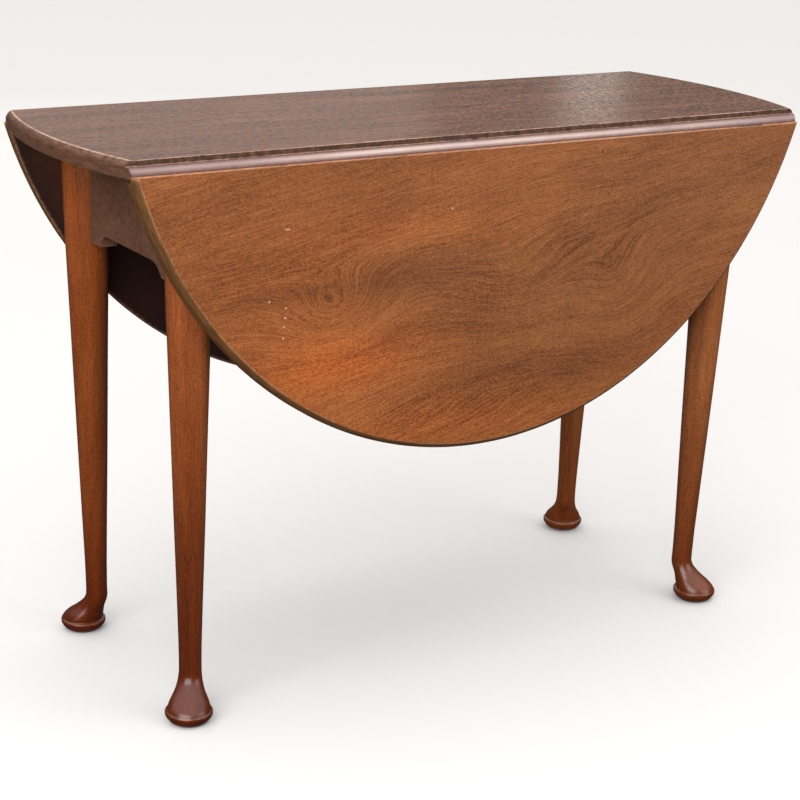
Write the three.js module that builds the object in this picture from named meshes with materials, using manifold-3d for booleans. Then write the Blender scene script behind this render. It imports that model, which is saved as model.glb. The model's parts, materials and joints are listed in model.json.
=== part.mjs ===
// Drop-leaf table: a fixed top, two hanging leaves on rule joints, and four turned legs, of which
// two stand on gates that swing out to carry the raised leaves.
// Millimetres, +Z up, +X along the table's length, the front is -Y. The origin is on the floor,
// under the centre. The table matches itself when it is turned by half a turn about Z, so each
// side is built once as the front side, and once more turned round as the rear side.
import * as THREE from "three";
import { mergeVertices } from "three/addons/utils/BufferGeometryUtils.js";
import Module from "manifold-3d";

const wasm = await Module();
wasm.setup();

// ---------- driving dimensions ----------
const GAP = 0.4; // between pieces that touch
const HEIGHT = 720;
const BOARD = 21; // thickness of the top and of the leaves
const OVAL_X = 530; // half the length of the oval
const OVAL_Y = 567; // half its width, with both leaves raised
const EDGE_INSET = 7.4; // the upper arris stands this far back from the fullest line of the edge
const EDGE_DROP = 9; // depth of the fullest line below the upper face
const EDGE_TURN = THREE.MathUtils.degToRad(65); // how far the edge has turned over at the arris
const UNDER_BEVEL = 1.2;

const HINGE_Y = 175; // the hinge axis, under the joint's fillet
const FILLET = 7;
const OVOLO = 9.5;
const RULE = FILLET + OVOLO; // depth of the hinge axis below the upper face
const RULE_GAP = 0.5; // between the ovolo and the leaf's cove

const HINGE_X = 250; // hinges stand this far each side of the middle
const PLATE = 2; // thickness of a hinge plate
const PLATE_WIDTH = 36;
const TOP_PLATE = 38; // reach of a plate from the hinge axis
const LEAF_PLATE = 62;
const PLATE_CLEAR = 4.7; // where the plates stop short of the axis, beside the knuckles
const BARREL = 3.4;
const PIN = 1.5;
const PIN_BORE = 1.8;
const KNUCKLE = 8; // half the length of a hinge's middle knuckle
const SCREW_HEAD = 3.4;
const SCREW_SHANK = 1.6;
const SCREW_LENGTH = 15;

// Centres of a leg's top, ankle and foot, from the table's centre. A swinging leg leans out a little.
const FIXED_LEG_TOP = { x: 407.4, y: 136.7 };
const SWING_LEG_TOP = { x: 416, y: 136.7 };
const LEG_ANKLE = { x: 402.5, y: 140.5 };
const LEG_PAD = { x: 414, y: 160 };
const ANKLE_Z = 56; // the leg bends out to its pad below this height
const PAD_Z = 14;
const LEG_RADII = [
  // radius and height of the turned profile: pad, ankle, long taper
  [21, 0],
  [26.5, 3],
  [29.5, 8],
  [30.2, 13],
  [29.2, 18],
  [26, 25],
  [21.3, 32],
  [17.6, 40],
  [15.1, 50],
  [14.3, 66],
  [14.8, 105],
  [16.1, 150],
  [19.2, 250],
  [23.4, 400],
  [27.8, 550],
  [30.8, 698.5],
];

const FRAME_TOP = HEIGHT - BOARD - 0.5; // top of the legs, the aprons and the rails
const APRON_X = 423; // outer face of an end apron
const APRON_THICK = 22;
const APRON_LOW = 558.5; // under the brackets
const APRON_ARCH = 575;
const APRON_FREE_END = 105; // the end beside a swinging leg
const APRON_FLAT = 34; // flat under the bracket beside the swinging leg
const APRON_COVE = 16;
const APRON_BRACKET = 99.5; // where the bracket beside the fixed leg begins
const APRON_SWEEP = 32; // length of its curve

const RAIL_THICK = 21;
const RAIL_LOW = 570;
const INNER_RAIL_Y = 101; // centre lines of the rails
const OUTER_RAIL_Y = 122.5;
const KNUCKLE_X = 70; // the gate's pivot, past the middle
const FINGERS = 5;
const GATE_PIN = 3.5;
const INNER_TENON_Y = 96.5; // centre line of the inner rails' tenons
const TENON_THICK = 10;
const TENON_SHIFT = 3.5; // the outer rails' tenons stand this far outside their middle
const TENON_LOW = 585;
const TENON_HIGH = 688;
const PEG = 3.2;
const BLOCK = 28; // corner blocks, glued to the frame and up to the underside of the top
const BLOCK_LOW = 600;

const ROUND = 16; // sides of the small round pieces
const KNUCKLE_ROUND = 16;
const LEG_ROUND = 24;
const OVAL_ROUND = 96;

// ---------- materials ----------
const wood = (name, color, roughness) => {
  const made = new THREE.MeshStandardMaterial({ color, roughness, metalness: 0 });
  made.name = name;
  return made;
};
const topWood = wood("top_wood", 0x6d4d3d, 0.38);
const leafWood = wood("leaf_wood", 0x9c5a33, 0.45);
const apronWood = wood("apron_wood", 0x4c2f25, 0.5);
const legWood = wood("leg_wood", 0x7c4026, 0.45);
const innerWood = wood("inner_wood", 0x5a4030, 0.75);
const iron = new THREE.MeshStandardMaterial({ color: 0x4a4540, roughness: 0.55, metalness: 0.9 });
const steel = new THREE.MeshStandardMaterial({ color: 0x6a6258, roughness: 0.45, metalness: 0.9 });

// ---------- solids ----------
function solid(geometry) {
  const bare = geometry.index ? geometry.toNonIndexed() : geometry.clone();
  bare.deleteAttribute("normal");
  bare.deleteAttribute("uv");
  const merged = mergeVertices(bare, 1e-4);
  const vertProperties = merged.attributes.position.array;
  const triVerts = new Uint32Array(merged.index.array);
  return new wasm.Manifold(new wasm.Mesh({ numProp: 3, vertProperties, triVerts }));
}

function geometryOf(manifold) {
  const mesh = manifold.getMesh();
  const geometry = new THREE.BufferGeometry();
  geometry.setAttribute("position", new THREE.BufferAttribute(mesh.vertProperties, 3));
  geometry.setIndex(new THREE.BufferAttribute(mesh.triVerts, 1));
  geometry.computeVertexNormals();
  return geometry;
}

// A box given by its lowest and highest corners.
function box(low, high) {
  const size = high.map((v, i) => v - low[i]);
  const geometry = new THREE.BoxGeometry(...size);
  geometry.translate(...low.map((v, i) => v + size[i] / 2));
  return solid(geometry);
}

// A solid of revolution about Z from [radius, height] points that rise from axis to axis.
function turned(points, sides = ROUND) {
  const geometry = new THREE.LatheGeometry(points.map((p) => new THREE.Vector2(...p)), sides);
  geometry.rotateX(Math.PI / 2);
  return solid(geometry);
}

function rod(radius, low, high, sides = ROUND) {
  return turned([[0, low], [radius, low], [radius, high], [0, high]], sides);
}

// A rod along X or Y.
const rodX = (radius, low, high) => rod(radius, low, high).rotate([0, 90, 0]);
const rodY = (radius, low, high) => rod(radius, low, high).rotate([-90, 0, 0]);

// A shape drawn in the Y-Z plane, extruded along X.
function alongX(shape, low, high, curveSegments = 8) {
  const settings = { depth: high - low, bevelEnabled: false, curveSegments };
  const geometry = new THREE.ExtrudeGeometry(shape, settings);
  const turn = new THREE.Matrix4().makeBasis(
    new THREE.Vector3(0, 1, 0),
    new THREE.Vector3(0, 0, 1),
    new THREE.Vector3(1, 0, 0),
  );
  geometry.applyMatrix4(turn);
  geometry.translate(low, 0, 0);
  return solid(geometry);
}

// A shape drawn in the X-Y plane, extruded along Z.
function alongZ(points, low, high) {
  const shape = new THREE.Shape(points.map((p) => new THREE.Vector2(...p)));
  const geometry = new THREE.ExtrudeGeometry(shape, { depth: high - low, bevelEnabled: false });
  geometry.translate(0, 0, low);
  return solid(geometry);
}

const joined = (solids) => solids.reduce((all, next) => all.add(next));
const cutBy = (body, tools) => tools.reduce((left, tool) => left.subtract(tool), body);

function mesh(name, manifold, material) {
  const made = new THREE.Mesh(geometryOf(manifold), material);
  made.name = name;
  return made;
}

// ---------- boards ----------
// The whole oval with its moulded edge, upper face at z = 0, before it is parted into three boards.
function ovalBlank() {
  const mean = (OVAL_X + OVAL_Y) / 2;
  const steps = 4;
  const edge = [];
  for (let i = 0; i <= steps; i += 1) {
    const turn = (EDGE_TURN * i) / steps;
    const inset = (EDGE_INSET * (1 - Math.cos(turn))) / (1 - Math.cos(EDGE_TURN));
    const rise = (EDGE_DROP * Math.sin(turn)) / Math.sin(EDGE_TURN);
    edge.push([mean - inset, rise - EDGE_DROP]);
  }
  const under = [
    [0, -BOARD],
    [mean - UNDER_BEVEL, -BOARD],
    [mean, UNDER_BEVEL - BOARD],
  ];
  const blank = turned([...under, ...edge, [0, 0]], OVAL_ROUND);
  return blank.scale([OVAL_X / mean, OVAL_Y / mean, 1]);
}

// Cross-section of the fixed top: a fillet and an ovolo down each side.
function topSection() {
  const below = Math.asin((BOARD - RULE) / OVOLO);
  const shape = new THREE.Shape();
  shape.moveTo(HINGE_Y, 1);
  shape.lineTo(-HINGE_Y, 1);
  shape.lineTo(-HINGE_Y, -FILLET);
  shape.absarc(-HINGE_Y, -RULE, OVOLO, Math.PI / 2, Math.PI + below, false);
  shape.lineTo(-HINGE_Y, -BOARD - 1);
  shape.lineTo(HINGE_Y, -BOARD - 1);
  shape.absarc(HINGE_Y, -RULE, OVOLO, -below, Math.PI / 2, false);
  shape.closePath();
  return shape;
}

// Cross-section of the front leaf, raised: a square shoulder over a cove that rides on the ovolo.
function leafSection() {
  const cove = OVOLO + RULE_GAP;
  const far = -OVAL_Y - 20;
  const shape = new THREE.Shape();
  shape.moveTo(-HINGE_Y - RULE_GAP, 1);
  shape.absarc(-HINGE_Y, -RULE, cove, Math.acos(-RULE_GAP / cove), Math.PI, false);
  shape.lineTo(-HINGE_Y - cove, -BOARD - 1);
  shape.lineTo(far, -BOARD - 1);
  shape.lineTo(far, 1);
  shape.closePath();
  return shape;
}

// ---------- hinges ----------
// A hinge is drawn about its own axis with the leaf raised: the leaf is towards -Y.
const AXIS_TO_UNDER = BOARD - RULE;
const PLATE_LOW = -AXIS_TO_UNDER;
const PLATE_HIGH = PLATE_LOW + PLATE;
const HALF_BARREL = PLATE_WIDTH / 2 - 1;
const TOP_SCREWS = [[-11, 24], [11, 24]]; // x, and distance from the axis
const LEAF_SCREWS = [[-11, 30], [11, 50]];

function screw(grow = 0) {
  const head = PLATE * 0.9 + grow;
  return turned([
    [0, -grow],
    [SCREW_HEAD + grow, -grow],
    [SCREW_SHANK + grow, head],
    [SCREW_SHANK + grow, SCREW_LENGTH - 2],
    [0, SCREW_LENGTH + grow],
  ]);
}

const screwAt = (x, y, grow) => screw(grow).translate([x, y, PLATE_LOW]);

function topPlate() {
  const half = PLATE_WIDTH / 2;
  const plate = box([-half, PLATE_CLEAR, PLATE_LOW], [half, TOP_PLATE, PLATE_HIGH]);
  const sides = [-1, 1].flatMap((side) => {
    const span = [side * (KNUCKLE + GAP), side * HALF_BARREL].sort((a, b) => a - b);
    const tab = box([span[0], 0, PLATE_LOW], [span[1], PLATE_CLEAR + 1, PLATE_HIGH]);
    return [rodX(BARREL, span[0], span[1]), tab];
  });
  const bore = rodX(PIN_BORE, -half - 1, half + 1);
  const holes = TOP_SCREWS.map(([x, reach]) => screwAt(x, reach, GAP));
  return cutBy(joined([plate, ...sides]), [bore, ...holes]);
}

function leafPlate() {
  const half = PLATE_WIDTH / 2;
  const plate = box([-half, -LEAF_PLATE, PLATE_LOW], [half, -PLATE_CLEAR, PLATE_HIGH]);
  const tab = box([-KNUCKLE, -PLATE_CLEAR - 1, PLATE_LOW], [KNUCKLE, 0, PLATE_HIGH]);
  const bore = rodX(PIN_BORE, -half, half);
  const holes = LEAF_SCREWS.map(([x, reach]) => screwAt(x, -reach, GAP));
  return cutBy(joined([plate, tab, rodX(BARREL, -KNUCKLE, KNUCKLE)]), [bore, ...holes]);
}

// What a hinge takes out of the boards: plates let in flush, a groove for the barrel, screw holes.
function hingeRecess() {
  const half = PLATE_WIDTH / 2 + GAP;
  const deep = PLATE_HIGH + GAP;
  const low = PLATE_LOW - 1;
  const groove = BARREL + 0.6;
  const plates = box([-half, -LEAF_PLATE - GAP, low], [half, TOP_PLATE + GAP, deep]);
  const barrel = box([-half, -groove - 1, low], [half, groove + 1, groove]);
  const holes = [
    ...TOP_SCREWS.map(([x, reach]) => screwAt(x, reach, GAP)),
    ...LEAF_SCREWS.map(([x, reach]) => screwAt(x, -reach, GAP)),
  ];
  return joined([plates, barrel, ...holes]);
}

const recessesFront = [-1, 1].map((side) =>
  hingeRecess().translate([side * HINGE_X, -HINGE_Y, -RULE]),
);
const recessesRear = recessesFront.map((tool) => tool.rotate([0, 0, 180]));

const blank = ovalBlank();

function fixedTop() {
  const board = blank.intersect(alongX(topSection(), -OVAL_X - 20, OVAL_X + 20));
  return cutBy(board, [...recessesFront, ...recessesRear]).translate([0, 0, HEIGHT]);
}

// The leaf about its own hinge axis, raised.
function leaf() {
  const board = blank.intersect(alongX(leafSection(), -OVAL_X - 20, OVAL_X + 20));
  return cutBy(board, recessesFront).translate([0, HINGE_Y, RULE]);
}

// ---------- legs ----------
// Centre of a leg at a height: it leans a little on the taper, and bends out to the pad.
function legCentre(z, top) {
  const up = THREE.MathUtils.clamp((z - ANKLE_Z) / (FRAME_TOP - ANKLE_Z), 0, 1);
  const out = 1 - THREE.MathUtils.smoothstep(z, PAD_Z, ANKLE_Z);
  const at = (axis) =>
    THREE.MathUtils.lerp(LEG_ANKLE[axis], top[axis], up) + (LEG_PAD[axis] - LEG_ANKLE[axis]) * out;
  return [at("x"), at("y")];
}

// A leg, at the table's +X +Y corner. grow makes it fatter, as a tool that scribes rails to it.
function leg(top, grow = 0) {
  const profile = [
    new THREE.Vector2(0, 0),
    ...LEG_RADII.map(([radius, z]) => new THREE.Vector2(radius + grow, z)),
    new THREE.Vector2(0, FRAME_TOP),
  ];
  const geometry = new THREE.LatheGeometry(profile, LEG_ROUND);
  geometry.rotateX(Math.PI / 2);
  const points = geometry.attributes.position;
  for (let i = 0; i < points.count; i += 1) {
    const [x, y] = legCentre(points.getZ(i), top);
    points.setXY(i, points.getX(i) + x, points.getY(i) + y);
  }
  return solid(geometry);
}

// The front side's two legs, at its left and right corners.
const fixedLegAt = (grow) => leg(FIXED_LEG_TOP, grow).mirror([1, 0, 0]).mirror([0, 1, 0]);
const swingLegAt = (grow) => leg(SWING_LEG_TOP, grow).mirror([0, 1, 0]);

// ---------- frame ----------
const railSpan = (centre) => [-centre - RAIL_THICK / 2, -centre + RAIL_THICK / 2];
const [OUTER_LOW, OUTER_HIGH] = railSpan(OUTER_RAIL_Y);
const [INNER_LOW, INNER_HIGH] = railSpan(INNER_RAIL_Y);
const RAIL_END = APRON_X - APRON_THICK - GAP;
const FIXED_TENON_END = -402.5; // stops beside the apron's tenon, inside the fixed leg
const GATE_TENON_END = 418;
const APRON_TENON_END = -138;
const APRON_MID = APRON_X - APRON_THICK / 2;
const INNER_TENON_END = APRON_MID + 3;

const railTenon = (from, to, grow = 0) => {
  const half = TENON_THICK / 2 + grow;
  const middle = -OUTER_RAIL_Y - TENON_SHIFT;
  const low = [Math.min(from, to) - grow, middle - half, TENON_LOW - grow];
  return box(low, [Math.max(from, to) + grow, middle + half, TENON_HIGH + grow]);
};
const innerTenons = (grow = 0) => {
  const half = TENON_THICK / 2 + grow;
  const low = [-INNER_TENON_END - grow, -INNER_TENON_Y - half, TENON_LOW - grow];
  return box(low, [INNER_TENON_END + grow, -INNER_TENON_Y + half, TENON_HIGH + grow]);
};
const apronTenon = (grow = 0) => {
  const half = 5 + grow;
  const low = [-APRON_MID - half, APRON_TENON_END - grow, TENON_LOW - grow];
  return box(low, [-APRON_MID + half, -104 + grow, TENON_HIGH + grow]);
};

// Pegs through the tenons: two in the apron's, one in the fixed rail's, two in the gate's.
const PEG_LOW = 612;
const PEG_HIGH = 662;
const pegX = (grow, z) => rodX(PEG + grow, -433.4, -406 + grow).translate([0, -128, z]);
const pegY = (grow, x, z, end) => rodY(PEG + grow, -end, -123 + grow).translate([x, 0, z]);
const apronPegs = (grow) => [pegX(grow, PEG_LOW), pegX(grow, PEG_HIGH)];
const fixedPegs = (grow) => [pegY(grow, -396.5, (PEG_LOW + PEG_HIGH) / 2, 164.2)];
const gatePegs = (grow) => [PEG_LOW, PEG_HIGH].map((z) => pegY(grow, 408, z, 165.8));

function fixedLeg() {
  const holes = [...apronPegs(GAP), ...fixedPegs(GAP)];
  const mortises = [railTenon(-370, FIXED_TENON_END, GAP), apronTenon(GAP)];
  return cutBy(fixedLegAt(0), [...mortises, ...holes]);
}

function swingLeg() {
  const mortise = railTenon(370, GATE_TENON_END, GAP);
  return cutBy(swingLegAt(0), [mortise, ...gatePegs(GAP)]);
}

// The knuckle joint: fingers of the two rails alternate up the pin. owner 0 is the fixed rail.
const FINGER = (FRAME_TOP - RAIL_LOW) / FINGERS;
function fingerSlots(owner) {
  const radius = RAIL_THICK / 2 + 0.5;
  const slots = [];
  for (let i = 0; i < FINGERS; i += 1) {
    if (i % 2 !== owner) {
      const low = RAIL_LOW + i * FINGER - (i === 0 ? 1 : GAP / 2);
      const high = RAIL_LOW + (i + 1) * FINGER + (i === FINGERS - 1 ? 1 : GAP / 2);
      slots.push(rod(radius, low, high, KNUCKLE_ROUND).translate([KNUCKLE_X, -OUTER_RAIL_Y, 0]));
    }
  }
  return slots;
}

// The mitred shoulder that lets the gate turn past a right angle; way is the rail's side of the pin.
function shoulder(way) {
  const slope = Math.tan(THREE.MathUtils.degToRad(48));
  const out = RAIL_THICK;
  const corner = [[0, 0], [0, -out], [way * out * slope, -out]];
  const clear = rod(RAIL_THICK / 2 + 0.05, RAIL_LOW - 1, FRAME_TOP + 1, KNUCKLE_ROUND);
  const wedge = alongZ(corner, RAIL_LOW - 2, FRAME_TOP + 2).subtract(clear);
  return wedge.translate([KNUCKLE_X, -OUTER_RAIL_Y, 0]);
}

const knuckleEnd = () =>
  rod(RAIL_THICK / 2, RAIL_LOW, FRAME_TOP, KNUCKLE_ROUND).translate([KNUCKLE_X, -OUTER_RAIL_Y, 0]);
const knuckleBore = () =>
  rod(GATE_PIN + GAP, RAIL_LOW - 1, FRAME_TOP + 1).translate([KNUCKLE_X, -OUTER_RAIL_Y, 0]);

function outerRail() {
  const body = box([-RAIL_END, OUTER_LOW, RAIL_LOW], [KNUCKLE_X, OUTER_HIGH, FRAME_TOP]);
  const scribed = body.subtract(fixedLegAt(GAP));
  const solidRail = joined([scribed, railTenon(-370, FIXED_TENON_END), knuckleEnd()]);
  return cutBy(solidRail, [...fingerSlots(0), shoulder(-1), knuckleBore(), ...fixedPegs(GAP)]);
}

function gateRail() {
  const body = box([KNUCKLE_X, OUTER_LOW, RAIL_LOW], [RAIL_END, OUTER_HIGH, FRAME_TOP]);
  const scribed = body.subtract(swingLegAt(GAP));
  const solidRail = joined([scribed, railTenon(370, GATE_TENON_END), knuckleEnd()]);
  return cutBy(solidRail, [...fingerSlots(1), shoulder(1), knuckleBore(), ...gatePegs(GAP)]);
}

function knucklePin() {
  const pin = rod(GATE_PIN, RAIL_LOW - 1.5, FRAME_TOP - 1);
  return pin.translate([KNUCKLE_X, -OUTER_RAIL_Y, 0]);
}

function innerRail() {
  const body = box([-RAIL_END, INNER_LOW, RAIL_LOW], [RAIL_END, INNER_HIGH, FRAME_TOP]);
  return cutBy(body, [fixedLegAt(GAP), swingLegAt(GAP)]).add(innerTenons());
}

// An end apron, drawn at the left end: a low arch between a bracket with a small cove, beside the
// swinging leg, and one with a long sweep, beside the fixed leg.
function apron() {
  const cove = APRON_FREE_END - APRON_FLAT;
  const rise = APRON_ARCH - APRON_LOW;
  const shape = new THREE.Shape();
  shape.moveTo(APRON_FREE_END, FRAME_TOP);
  shape.lineTo(-125, FRAME_TOP);
  shape.lineTo(-125, APRON_LOW);
  shape.lineTo(-APRON_BRACKET, APRON_LOW);
  shape.bezierCurveTo(
    -APRON_BRACKET + 6, APRON_LOW + rise * 0.3,
    -APRON_BRACKET + 10, APRON_ARCH,
    -APRON_BRACKET + APRON_SWEEP, APRON_ARCH,
  );
  shape.lineTo(cove - APRON_COVE, APRON_ARCH);
  shape.absellipse(cove - APRON_COVE, APRON_LOW, APRON_COVE, rise, Math.PI / 2, 0, true, 0);
  shape.lineTo(APRON_FREE_END, APRON_LOW);
  shape.closePath();
  const board = alongX(shape, -APRON_X, APRON_THICK - APRON_X);
  const scribed = board.subtract(fixedLegAt(GAP)).add(apronTenon());
  const rearTenon = innerTenons(GAP).mirror([0, 1, 0]);
  return cutBy(scribed, [innerTenons(GAP), rearTenon, ...apronPegs(GAP)]);
}

// Glue blocks in the corners between the aprons and an inner rail.
function cornerBlock(side) {
  const x = APRON_X - APRON_THICK - 2 * GAP;
  const y = INNER_HIGH + GAP;
  const corner = [[side * x, y], [side * (x - BLOCK), y], [side * x, y + BLOCK]];
  return alongZ(side < 0 ? corner : corner.reverse(), BLOCK_LOW, FRAME_TOP);
}

// ---------- assembly ----------
function hinge(label, hingeX) {
  const fixed = new THREE.Group();
  fixed.position.set(hingeX, -HINGE_Y, HEIGHT - RULE);
  fixed.add(mesh(`${label}_top_plate`, topPlate(), iron));
  fixed.add(mesh(`${label}_pin`, rodX(PIN, -HALF_BARREL, HALF_BARREL), steel));
  TOP_SCREWS.forEach(([x, reach], i) => {
    fixed.add(mesh(`${label}_top_screw_${i + 1}`, screwAt(x, reach, 0), steel));
  });
  const moving = new THREE.Group();
  moving.position.x = hingeX;
  moving.add(mesh(`${label}_leaf_plate`, leafPlate(), iron));
  LEAF_SCREWS.forEach(([x, reach], i) => {
    moving.add(mesh(`${label}_leaf_screw_${i + 1}`, screwAt(x, -reach, 0), steel));
  });
  return { fixed, moving };
}

// One side of the table as the front: names says what its legs and its apron are called.
function side(label, names) {
  const group = new THREE.Group();
  group.add(mesh(names.fixedLeg, fixedLeg(), legWood));
  group.add(mesh(names.swingLeg, swingLeg(), legWood));
  group.add(mesh(names.apron, apron(), apronWood));
  group.add(mesh(`${label}_inner_rail`, innerRail(), innerWood));
  group.add(mesh(`${label}_outer_rail`, outerRail(), apronWood));
  group.add(mesh(`${label}_gate_rail`, gateRail(), apronWood));
  group.add(mesh(`${label}_knuckle_pin`, knucklePin(), iron));
  [["left", -1], ["right", 1]].forEach(([end, way]) => {
    group.add(mesh(`${label}_corner_block_${end}`, cornerBlock(way), innerWood));
  });
  apronPegs(0).forEach((peg, i) => group.add(mesh(`${names.apron}_peg_${i + 1}`, peg, legWood)));
  fixedPegs(0).forEach((peg) => group.add(mesh(`${label}_outer_rail_peg`, peg, legWood)));
  gatePegs(0).forEach((peg, i) => group.add(mesh(`${label}_gate_peg_${i + 1}`, peg, legWood)));

  const hanging = new THREE.Group();
  hanging.position.set(0, -HINGE_Y, HEIGHT - RULE);
  hanging.rotation.x = Math.PI / 2;
  hanging.add(mesh(`${label}_leaf`, leaf(), leafWood));
  [["a", -1], ["b", 1]].forEach(([end, way]) => {
    const { fixed, moving } = hinge(`${label}_hinge_${end}`, way * HINGE_X);
    group.add(fixed);
    hanging.add(moving);
  });
  group.add(hanging);
  return group;
}

const table = new THREE.Group();
table.add(mesh("fixed_top", fixedTop(), topWood));
table.add(
  side("front", { fixedLeg: "front_left_leg", swingLeg: "front_right_leg", apron: "left_apron" }),
);
const rear = side("rear", {
  fixedLeg: "rear_right_leg",
  swingLeg: "rear_left_leg",
  apron: "right_apron",
});
rear.rotation.z = Math.PI;
table.add(rear);

export default table;
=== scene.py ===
import json
import math

import bmesh
import bpy
from mathutils import Matrix, Vector, noise

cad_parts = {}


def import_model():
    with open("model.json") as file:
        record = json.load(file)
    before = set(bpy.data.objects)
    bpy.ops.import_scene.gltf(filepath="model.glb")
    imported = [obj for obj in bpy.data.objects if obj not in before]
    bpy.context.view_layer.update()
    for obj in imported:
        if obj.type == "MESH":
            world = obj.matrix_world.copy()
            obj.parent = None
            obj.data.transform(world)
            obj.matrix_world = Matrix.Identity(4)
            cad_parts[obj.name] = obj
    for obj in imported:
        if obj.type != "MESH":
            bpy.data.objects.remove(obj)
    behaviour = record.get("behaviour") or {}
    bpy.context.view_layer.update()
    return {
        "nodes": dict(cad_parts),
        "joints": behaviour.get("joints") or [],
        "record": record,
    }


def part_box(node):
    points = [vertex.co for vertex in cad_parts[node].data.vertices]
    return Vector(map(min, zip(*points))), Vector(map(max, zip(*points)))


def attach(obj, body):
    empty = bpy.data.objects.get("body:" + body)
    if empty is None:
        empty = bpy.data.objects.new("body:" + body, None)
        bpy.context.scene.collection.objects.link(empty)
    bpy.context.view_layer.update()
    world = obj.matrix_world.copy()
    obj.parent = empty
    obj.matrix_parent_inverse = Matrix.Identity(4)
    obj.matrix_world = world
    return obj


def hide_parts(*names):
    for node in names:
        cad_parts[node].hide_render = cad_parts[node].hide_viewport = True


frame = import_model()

# ---------- sizes, in metres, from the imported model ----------
MM = 0.001
TOP_LOW, TOP_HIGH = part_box("fixed_top")
HEIGHT = TOP_HIGH.z
BOARD = HEIGHT - TOP_LOW.z
OVAL_X = TOP_HIGH.x
JOINTS = {joint["name"]: joint for joint in frame["joints"]}
AXIS_Y = JOINTS["rear_leaf_hinge"]["pos_m"][1]
AXIS_Z = JOINTS["rear_leaf_hinge"]["pos_m"][2]
OVAL_Y = AXIS_Y + AXIS_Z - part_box("front_leaf")[0].z
MEAN = (OVAL_X + OVAL_Y) / 2  # the oval is trimmed in proportion to its mean radius
RULE = HEIGHT - AXIS_Z  # depth of the rule joint's centre below the face
OVOLO = TOP_HIGH.y - AXIS_Y
FILLET = RULE - OVOLO
COVE = OVOLO + 0.5 * MM
EDGE_INSET = 7.4 * MM  # how far the moulded edge turns in at the face
EDGE_DROP = 9 * MM  # where the moulded edge is fullest, below the face
EDGE_TURN = math.radians(65)
UNDER_BEVEL = 1.2 * MM
FRAME_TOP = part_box("front_left_leg")[1].z
MOUNTS = {mount["name"]: mount for mount in frame["record"]["mounts"]}

SIDES = ("front", "rear")
BASE = "base"
BODY_OF = {node: body for body, nodes in frame["record"]["behaviour"]["bodies"].items()
           for node in nodes}
UNTURNED = Matrix.Identity(4)
HALF_TURN = Matrix.Rotation(math.pi, 4, "Z")


# ---------- node graphs ----------
def srgb(red, green, blue):
    """A colour from the usual 0 to 255 scale, as the linear values that the shader takes."""
    def linear(value):
        value /= 255
        return value / 12.92 if value < 0.04045 else ((value + 0.055) / 1.055) ** 2.4
    return (linear(red), linear(green), linear(blue), 1.0)


class Graph:
    """A material's node tree, with short ways to add what the materials are made of."""

    def __init__(self, name):
        self.material = bpy.data.materials.new(name)
        self.material.use_nodes = True
        self.tree = self.material.node_tree
        self.tree.nodes.clear()

    def put(self, socket, value):
        if isinstance(value, bpy.types.NodeSocket):
            self.tree.links.new(value, socket)
        else:
            socket.default_value = value

    def node(self, kind, inputs=None, **settings):
        made = self.tree.nodes.new(kind)
        for key, value in settings.items():
            setattr(made, key, value)
        for key, value in (inputs or {}).items():
            self.put(made.inputs[key], value)
        return made

    def math(self, operation, *values):
        return self.node("ShaderNodeMath", dict(enumerate(values)), operation=operation).outputs[0]

    def add(self, first, *rest):
        for value in rest:
            first = self.math("ADD", first, value)
        return first

    def mul(self, first, *rest):
        for value in rest:
            first = self.math("MULTIPLY", first, value)
        return first

    def less(self, value):
        """1 less a value."""
        return self.math("SUBTRACT", 1.0, value)

    def swing(self, value, size):
        """A noise value about its middle, scaled."""
        return self.mul(self.add(value, -0.5), size)

    def position(self):
        """Object coordinates as three sockets."""
        coords = self.node("ShaderNodeTexCoord").outputs["Object"]
        return self.node("ShaderNodeSeparateXYZ", {0: coords}).outputs

    def grid(self, place, scales, seed, detail, roughness=0.5):
        """Noise with its own scale, in cells a metre, along each axis."""
        moved = [self.math("MULTIPLY_ADD", axis, scale, seed) for axis, scale in zip(place, scales)]
        vector = self.node("ShaderNodeCombineXYZ", dict(enumerate(moved))).outputs[0]
        inputs = {"Vector": vector, "Scale": 1.0, "Detail": detail, "Roughness": roughness}
        return self.node("ShaderNodeTexNoise", inputs).outputs["Fac"]

    def remap(self, value, low, high, to_low=0.0, to_high=1.0):
        inputs = {"Value": value, "From Min": low, "From Max": high}
        inputs.update({"To Min": to_low, "To Max": to_high})
        return self.node("ShaderNodeMapRange", inputs, clamp=True).outputs[0]

    def ramp(self, value, *stops):
        made = self.node("ShaderNodeValToRGB", {0: value})
        elements = made.color_ramp.elements
        while len(elements) < len(stops):
            elements.new(0.5)
        for element, (place, colour) in zip(elements, stops):
            element.position = place
            element.color = colour
        return made.outputs[0]

    def mix(self, share, first, second, blend="MIX"):
        made = self.node("ShaderNodeMix", data_type="RGBA", blend_type=blend)
        self.put(made.inputs[0], share)
        self.put(made.inputs[6], first)
        self.put(made.inputs[7], second)
        return made.outputs[2]

    def times(self, colour, factor):
        return self.mix(1.0, colour, factor, "MULTIPLY")

    def mark(self, name):
        return self.node("ShaderNodeAttribute", attribute_name=name).outputs["Fac"]

    def bell(self, u, v, centre, size):
        """1 at the centre, falling smoothly to 0 over an ellipse of that size."""
        across = self.math("DIVIDE", self.math("SUBTRACT", u, centre[0]), size[0])
        up = self.math("DIVIDE", self.math("SUBTRACT", v, centre[1]), size[1])
        square = self.add(self.mul(across, across), self.mul(up, up))
        return self.math("EXPONENT", self.mul(square, -1.0))

    def bump(self, height, distance, strength, normal=None):
        inputs = {"Height": height, "Distance": distance, "Strength": strength}
        if normal is not None:
            inputs["Normal"] = normal
        return self.node("ShaderNodeBump", inputs).outputs[0]

    def surface(self, **values):
        shader = self.node("ShaderNodeBsdfPrincipled")
        for key, value in values.items():
            self.put(shader.inputs[key.replace("_", " ")], value)
        self.node("ShaderNodeOutputMaterial", {0: shader.outputs[0]})
        return self.material


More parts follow.
